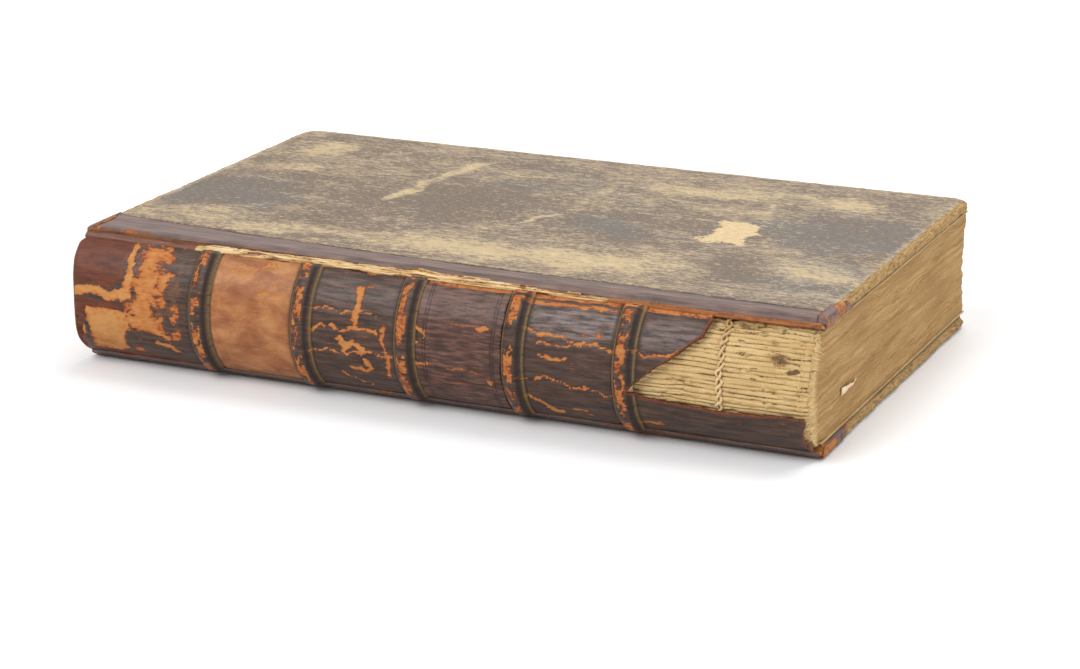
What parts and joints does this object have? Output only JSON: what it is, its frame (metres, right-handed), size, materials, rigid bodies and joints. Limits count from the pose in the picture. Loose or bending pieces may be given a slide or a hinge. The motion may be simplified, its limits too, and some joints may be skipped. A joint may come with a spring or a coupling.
{
  "type": "antique leather book",
  "caption": "Closed antique book in worn quarter leather with raised bands, paper-covered boards that open on hinges, and a torn spine tail that shows the folded sections.",
  "frame": {"origin": "centre of the bounding box at its lowest face, which is the outside of the back cover", "axes": "+X from the head of the spine to its tail, +Y from the spine to the fore edge, +Z from the back cover to the front cover"},
  "size_m": [0.205, 0.1342, 0.036],
  "materials": {
    "spine_calf": "worn, crackled, dark brown",
    "cover_calf": "worn, dark brown",
    "label_leather": "thin, dark red-brown",
    "side_paper": "rubbed, grey-brown",
    "pasteboard": "soft, frayed",
    "endpaper": "matt, browned",
    "text_paper": "matt, browned edges",
    "lining_paper": "matt",
    "hemp_cord": "twisted, matt",
    "linen_thread": "matt"
  },
  "bodies": {
    "book": {"text_block": "text_paper", "back_flyleaf": "endpaper", "front_flyleaf": "endpaper", "head_kettle_stitch": "linen_thread", "tail_kettle_stitch": "linen_thread", "sewing_cord_1": "hemp_cord", "spine_lining_1": "lining_paper", "sewing_cord_2": "hemp_cord", "spine_lining_2": "lining_paper", "sewing_cord_3": "hemp_cord", "spine_lining_3": "lining_paper", "sewing_cord_4": "hemp_cord", "spine_lining_4": "lining_paper", "sewing_cord_5": "hemp_cord", "spine_lining_5": "lining_paper", "spine_leather": "spine_calf", "volume_label": "label_leather", "head_endband": "linen_thread"},
    "front_cover": {"front_board": "pasteboard", "front_leather": "cover_calf", "front_side_paper": "side_paper", "front_paper_turn_in": "side_paper", "front_pastedown": "endpaper", "front_cord_slips": "hemp_cord"},
    "back_cover": {"back_board": "pasteboard", "back_leather": "cover_calf", "back_side_paper": "side_paper", "back_paper_turn_in": "side_paper", "back_pastedown": "endpaper", "back_cord_slips": "hemp_cord"}
  },
  "joints": [
    {"name": "front_cover_hinge", "type": "hinge", "parent": "book", "child": "front_cover", "pos_m": [0, -0.05485, 0.0352], "axis": [1, 0, 0], "range_deg": [0, 180]},
    {"name": "back_cover_hinge", "type": "hinge", "parent": "book", "child": "back_cover", "pos_m": [0, -0.05485, 0.0008], "axis": [-1, 0, 0], "range_deg": [0, 180]}
  ]
}
